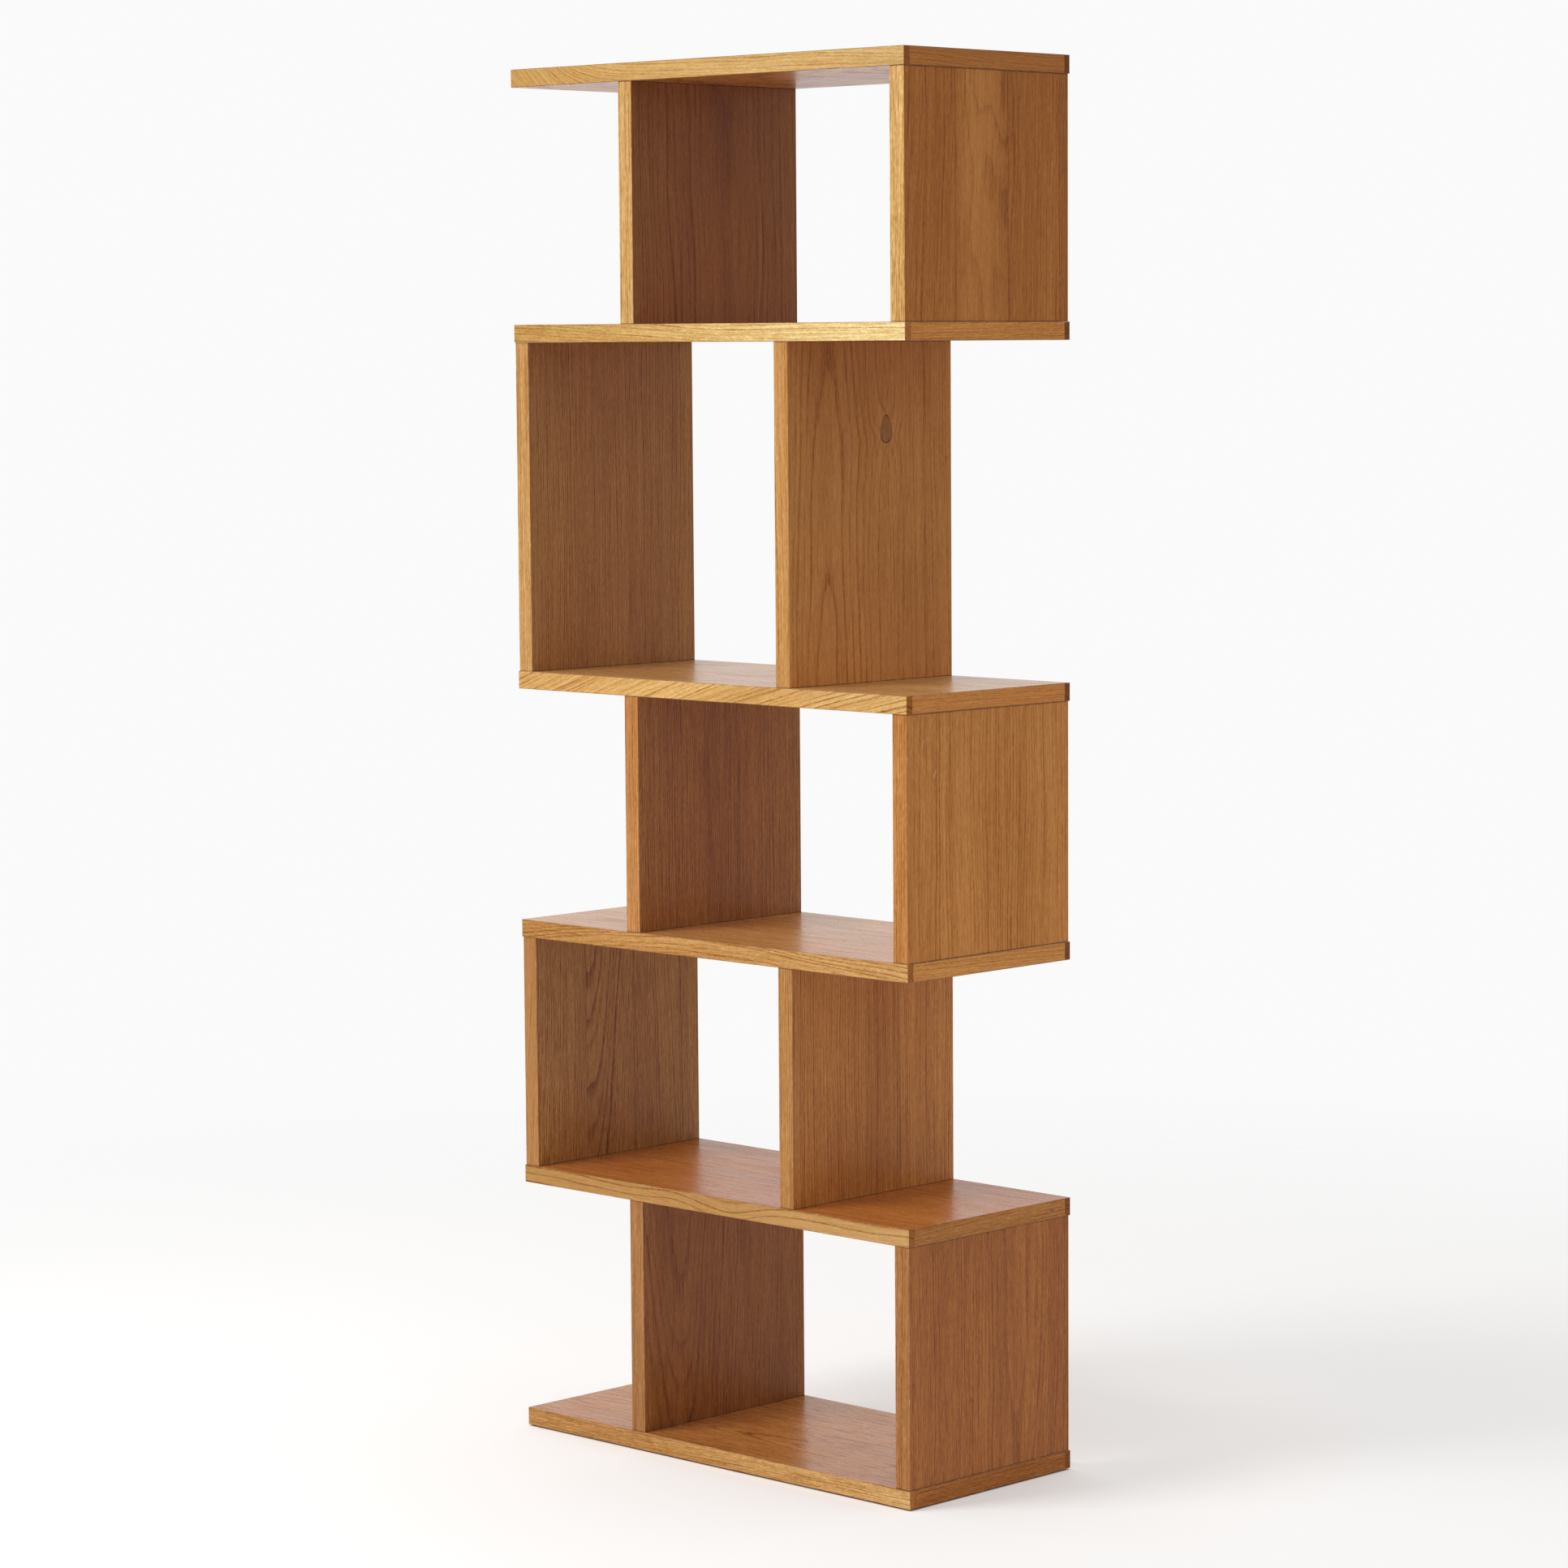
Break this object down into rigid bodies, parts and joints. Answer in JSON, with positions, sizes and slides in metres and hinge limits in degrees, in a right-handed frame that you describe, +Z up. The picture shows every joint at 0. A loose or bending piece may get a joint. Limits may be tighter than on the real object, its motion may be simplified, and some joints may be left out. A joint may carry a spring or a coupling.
{
  "type": "bookcase",
  "caption": "Tall open bookcase of oak-lipped veneered shelves held apart by pairs of uprights that step left and right from level to level, open at front, back and ends.",
  "frame": {"origin": "on the floor under the middle of the bookcase, at the height of the undersides of its felt pads", "axes": "+Z up, +X to the right end as seen from the front, +Y to the back"},
  "size_m": [0.755, 0.325, 1.935],
  "materials": {
    "oak_lipping": "satin lacquered solid oak, golden brown",
    "oak_veneer": "satin lacquered oak veneer, orange brown",
    "oak_upright": "satin lacquered oak veneer with vertical grain, orange brown",
    "core_board": "raw core board, hidden",
    "felt_pad": "pressed felt, dark brown"
  },
  "bodies": {
    "root": {"shelf_1_core": "core_board", "shelf_1_front_lipping": "oak_lipping", "shelf_1_back_lipping": "oak_lipping", "shelf_1_left_end_lipping": "oak_lipping", "shelf_1_right_end_lipping": "oak_lipping", "shelf_1_top_veneer": "oak_veneer", "shelf_1_bottom_veneer": "oak_veneer", "shelf_2_core": "core_board", "shelf_2_front_lipping": "oak_lipping", "shelf_2_back_lipping": "oak_lipping", "shelf_2_left_end_lipping": "oak_lipping", "shelf_2_right_end_lipping": "oak_lipping", "shelf_2_top_veneer": "oak_veneer", "shelf_2_bottom_veneer": "oak_veneer", "shelf_3_core": "core_board", "shelf_3_front_lipping": "oak_lipping", "shelf_3_back_lipping": "oak_lipping", "shelf_3_left_end_lipping": "oak_lipping", "shelf_3_right_end_lipping": "oak_lipping", "shelf_3_top_veneer": "oak_veneer", "shelf_3_bottom_veneer": "oak_veneer", "shelf_4_core": "core_board", "shelf_4_front_lipping": "oak_lipping", "shelf_4_back_lipping": "oak_lipping", "shelf_4_left_end_lipping": "oak_lipping", "shelf_4_right_end_lipping": "oak_lipping", "shelf_4_top_veneer": "oak_veneer", "shelf_4_bottom_veneer": "oak_veneer", "shelf_5_core": "core_board", "shelf_5_front_lipping": "oak_lipping", "shelf_5_back_lipping": "oak_lipping", "shelf_5_left_end_lipping": "oak_lipping", "shelf_5_right_end_lipping": "oak_lipping", "shelf_5_top_veneer": "oak_veneer", "shelf_5_bottom_veneer": "oak_veneer", "shelf_6_core": "core_board", "shelf_6_front_lipping": "oak_lipping", "shelf_6_back_lipping": "oak_lipping", "shelf_6_left_end_lipping": "oak_lipping", "shelf_6_right_end_lipping": "oak_lipping", "shelf_6_top_veneer": "oak_veneer", "shelf_6_bottom_veneer": "oak_veneer", "upright_1_left": "oak_upright", "upright_1_right": "oak_upright", "upright_2_left": "oak_upright", "upright_2_right": "oak_upright", "upright_3_left": "oak_upright", "upright_3_right": "oak_upright", "upright_4_left": "oak_upright", "upright_4_right": "oak_upright", "upright_5_left": "oak_upright", "upright_5_right": "oak_upright", "foot_pad_front_left": "felt_pad", "foot_pad_front_right": "felt_pad", "foot_pad_back_left": "felt_pad", "foot_pad_back_right": "felt_pad"}
  },
  "joints": []
}
